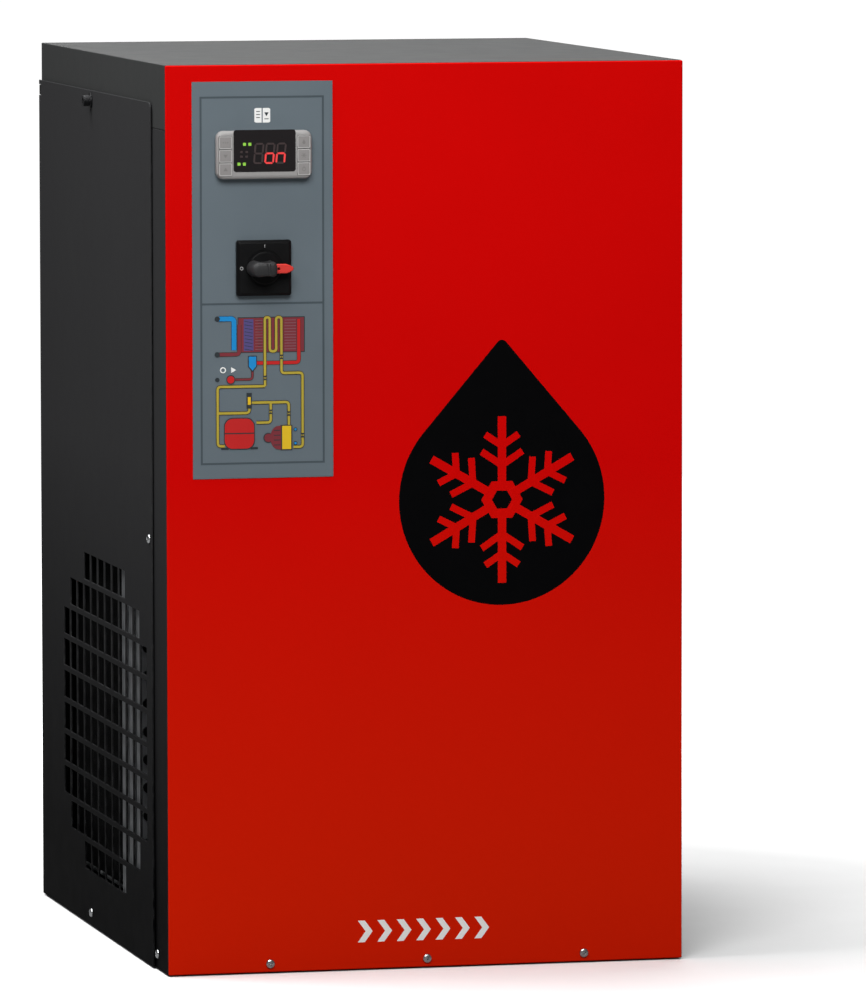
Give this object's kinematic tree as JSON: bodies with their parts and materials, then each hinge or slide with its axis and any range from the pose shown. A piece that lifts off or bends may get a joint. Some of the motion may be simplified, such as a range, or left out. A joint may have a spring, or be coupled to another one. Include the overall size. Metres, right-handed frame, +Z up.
{
  "type": "refrigerated air dryer",
  "caption": "Floor-standing refrigerated compressed-air dryer cabinet with a front control panel, rotary isolator, ventilated side panels, fan, compressor and rear air ports.",
  "frame": {"origin": "centre of the base tray's underside, on the floor, midway across the width and between the front and rear panels", "axes": "+Z up, -Y out of the front panel, +X to the right of someone facing the front panel"},
  "size_m": [0.4727, 0.6249, 0.789],
  "materials": {
    "red_paint": "semi-gloss red powder coat",
    "black_paint": "satin anthracite powder coat",
    "cover_paint": "satin anthracite powder coat",
    "label_grey": "printed polycarbonate overlay",
    "bezel_grey": "moulded warm grey ABS",
    "key_grey": "soft keypad",
    "display_lens": "smoked polished acrylic",
    "switch_black": "moulded black polyamide",
    "tab_red": "moulded red polyamide",
    "galvanised": "galvanised sheet steel",
    "screw_zinc": "bright zinc plate",
    "black_screw": "black oxide",
    "coil_black": "black coated fins",
    "fan_black": "moulded black plastic",
    "motor_grey": "cast aluminium",
    "compressor_black": "gloss black enamel",
    "rubber": "moulded rubber",
    "foam_insulation": "closed-cell foam",
    "brass_fitting": "machined brass",
    "hose_plastic": "extruded polyamide hose",
    "gland_plastic": "moulded polyamide",
    "copper_pipe": "drawn copper tube"
  },
  "bodies": {
    "cabinet": {"base_tray": "black_paint", "front_panel": "red_paint", "top_cover": "cover_paint", "rear_panel": "black_paint", "front_left_post": "black_paint", "front_right_post": "black_paint", "rear_left_post": "black_paint", "rear_right_post": "black_paint", "left_side_panel": "black_paint", "right_side_panel": "black_paint", "front_screw_1": "screw_zinc", "front_screw_2": "screw_zinc", "front_screw_3": "screw_zinc", "side_cap_screw": "black_screw", "side_screw_front": "screw_zinc", "side_screw_bottom": "screw_zinc", "post_screw_corner": "screw_zinc", "control_label": "label_grey", "controller_housing": "bezel_grey", "controller_window": "display_lens", "switch_plate": "switch_black", "switch_body": "switch_black", "electrical_box": "galvanised", "condenser_core": "coil_black", "condenser_baffle": "galvanised", "fan_shroud": "black_paint", "fan_motor": "motor_grey", "compressor_shell": "compressor_black", "compressor_base_plate": "compressor_black", "compressor_grommet_1": "rubber", "compressor_grommet_2": "rubber", "compressor_grommet_3": "rubber", "compressor_grommet_4": "rubber", "compressor_terminal_box": "fan_black", "heat_exchanger": "foam_insulation", "exchanger_bracket": "galvanised", "air_inlet_port": "brass_fitting", "air_outlet_port": "brass_fitting", "condensate_separator": "foam_insulation", "drain_valve": "brass_fitting", "drain_hose": "hose_plastic", "drain_outlet": "brass_fitting", "cable_gland": "gland_plastic", "discharge_pipe": "copper_pipe", "hot_gas_branch": "copper_pipe", "hot_gas_valve": "brass_fitting", "hot_gas_pipe": "copper_pipe", "liquid_pipe": "copper_pipe", "filter_drier": "copper_pipe", "capillary_tube": "copper_pipe", "suction_pipe": "copper_pipe"},
    "handle": {"switch_handle": "switch_black"},
    "tab": {"padlock_tab": "tab_red"},
    "fan": {"fan_rotor": "fan_black"},
    "key_l1": {"key_left_1": "key_grey"},
    "key_l2": {"key_left_2": "key_grey"},
    "key_l3": {"key_left_3": "key_grey"},
    "key_r1": {"key_right_1": "key_grey"},
    "key_r2": {"key_right_2": "key_grey"},
    "key_r3": {"key_right_3": "key_grey"}
  },
  "joints": [
    {"name": "switch_turn", "type": "hinge", "parent": "cabinet", "child": "handle", "pos_m": [-0.145, -0.3, 0.614], "axis": [0, 1, 0], "range_deg": [0, 90]},
    {"name": "tab_slide", "type": "slide", "parent": "handle", "child": "tab", "axis": [1, 0, 0], "range_m": [-0.0055, 0]},
    {"name": "fan_spin", "type": "hinge", "parent": "cabinet", "child": "fan", "pos_m": [-0.146, 0.048, 0.192], "axis": [1, 0, 0], "continuous": true},
    {"name": "key_left_1_press", "type": "slide", "parent": "cabinet", "child": "key_l1", "axis": [0, 1, 0], "range_m": [0, 0.0008], "stiffness_N_per_m": 1000},
    {"name": "key_left_2_press", "type": "slide", "parent": "cabinet", "child": "key_l2", "axis": [0, 1, 0], "range_m": [0, 0.0008], "stiffness_N_per_m": 1000},
    {"name": "key_left_3_press", "type": "slide", "parent": "cabinet", "child": "key_l3", "axis": [0, 1, 0], "range_m": [0, 0.0008], "stiffness_N_per_m": 1000},
    {"name": "key_right_1_press", "type": "slide", "parent": "cabinet", "child": "key_r1", "axis": [0, 1, 0], "range_m": [0, 0.0008], "stiffness_N_per_m": 1000},
    {"name": "key_right_2_press", "type": "slide", "parent": "cabinet", "child": "key_r2", "axis": [0, 1, 0], "range_m": [0, 0.0008], "stiffness_N_per_m": 1000},
    {"name": "key_right_3_press", "type": "slide", "parent": "cabinet", "child": "key_r3", "axis": [0, 1, 0], "range_m": [0, 0.0008], "stiffness_N_per_m": 1000}
  ]
}
